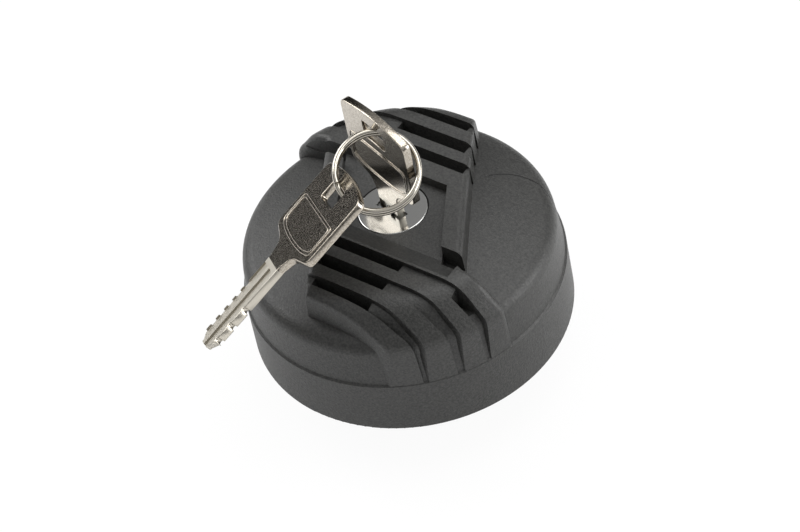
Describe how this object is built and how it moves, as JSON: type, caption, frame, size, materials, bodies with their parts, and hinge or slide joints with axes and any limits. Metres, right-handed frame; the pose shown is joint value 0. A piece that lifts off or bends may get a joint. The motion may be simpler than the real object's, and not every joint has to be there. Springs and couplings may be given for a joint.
{
  "type": "locking fuel filler cap",
  "caption": "Round locking fuel filler cap with a ribbed grip, key lock, free-turning cover, vented bayonet plug, and keys on a split ring.",
  "frame": {"origin": "on the cap's axis, at the lower rim of the cover's skirt", "axes": "+Z along the cap's axis, out of the filler neck; +X along the grip ribs"},
  "size_m": [0.086, 0.1013, 0.0866],
  "materials": {
    "cover_plastic": "black nylon, fine grained as moulded",
    "plug_plastic": "black acetal, smooth as moulded",
    "seal_rubber": "matt black nitrile rubber",
    "spring_steel": "drawn steel wire",
    "screw_steel": "zinc plated steel",
    "die_cast_zinc": "satin die-cast zinc",
    "chromed_face": "bright chrome plate",
    "brass_wafers": "stamped brass",
    "nickel_key": "polished nickel plate",
    "ring_steel": "bright nickel plated wire"
  },
  "bodies": {
    "plug": {"plug_body": "plug_plastic", "gasket": "seal_rubber", "valve_cage": "plug_plastic"},
    "valve": {"valve_disc": "plug_plastic", "valve_seal": "seal_rubber", "valve_spring": "spring_steel"},
    "cover": {"cover": "cover_plastic", "retainer_ring": "plug_plastic", "retainer_screws": "screw_steel", "lock_sleeve": "die_cast_zinc", "sleeve_oring": "seal_rubber", "sleeve_screws": "screw_steel"},
    "rotor": {"lock_rotor": "die_cast_zinc", "lock_face": "chromed_face", "wafer_tumblers": "brass_wafers", "wafer_springs": "spring_steel", "lock_cam": "screw_steel", "cam_circlip": "spring_steel"},
    "bolt": {"lock_bolt": "screw_steel"},
    "key": {"key": "nickel_key"},
    "ring": {"key_ring": "ring_steel"},
    "spare": {"spare_key": "nickel_key"}
  },
  "joints": [
    {"name": "cover_spin", "type": "hinge", "parent": "plug", "child": "cover", "pos_m": [0, 0, 0], "axis": [0, 0, 1], "continuous": true},
    {"name": "lock_turn", "type": "hinge", "parent": "cover", "child": "rotor", "pos_m": [0, 0, 0], "axis": [0, 0, 1], "range_deg": [-90, 0]},
    {"name": "bolt_slide", "type": "slide", "parent": "cover", "child": "bolt", "axis": [0.9659, 0.2588, 0], "range_m": [0, 0.004]},
    {"name": "key_pull", "type": "slide", "parent": "rotor", "child": "key", "axis": [0, 0, 1], "range_m": [0, 0.025]},
    {"name": "ring_swing", "type": "hinge", "parent": "key", "child": "ring", "pos_m": [0.00008, -0.00019, 0.06409], "axis": [-0.8103, -0.5764, 0.1055], "range_deg": [-2, 55]},
    {"name": "spare_key_swing", "type": "hinge", "parent": "ring", "child": "spare", "pos_m": [0.00006, -0.0171, 0.05841], "axis": [0.8092, -0.3978, -0.4323], "range_deg": [-40, 8]},
    {"name": "valve_open", "type": "slide", "parent": "plug", "child": "valve", "axis": [0, 0, -1], "range_m": [0, 0.002], "stiffness_N_per_m": 300, "springref_m": -0.003, "deforming": ["valve_spring"]}
  ],
  "couplings": [
    {"joint": "bolt_slide", "follows": "lock_turn", "m_per_rad": -0.002546}
  ]
}
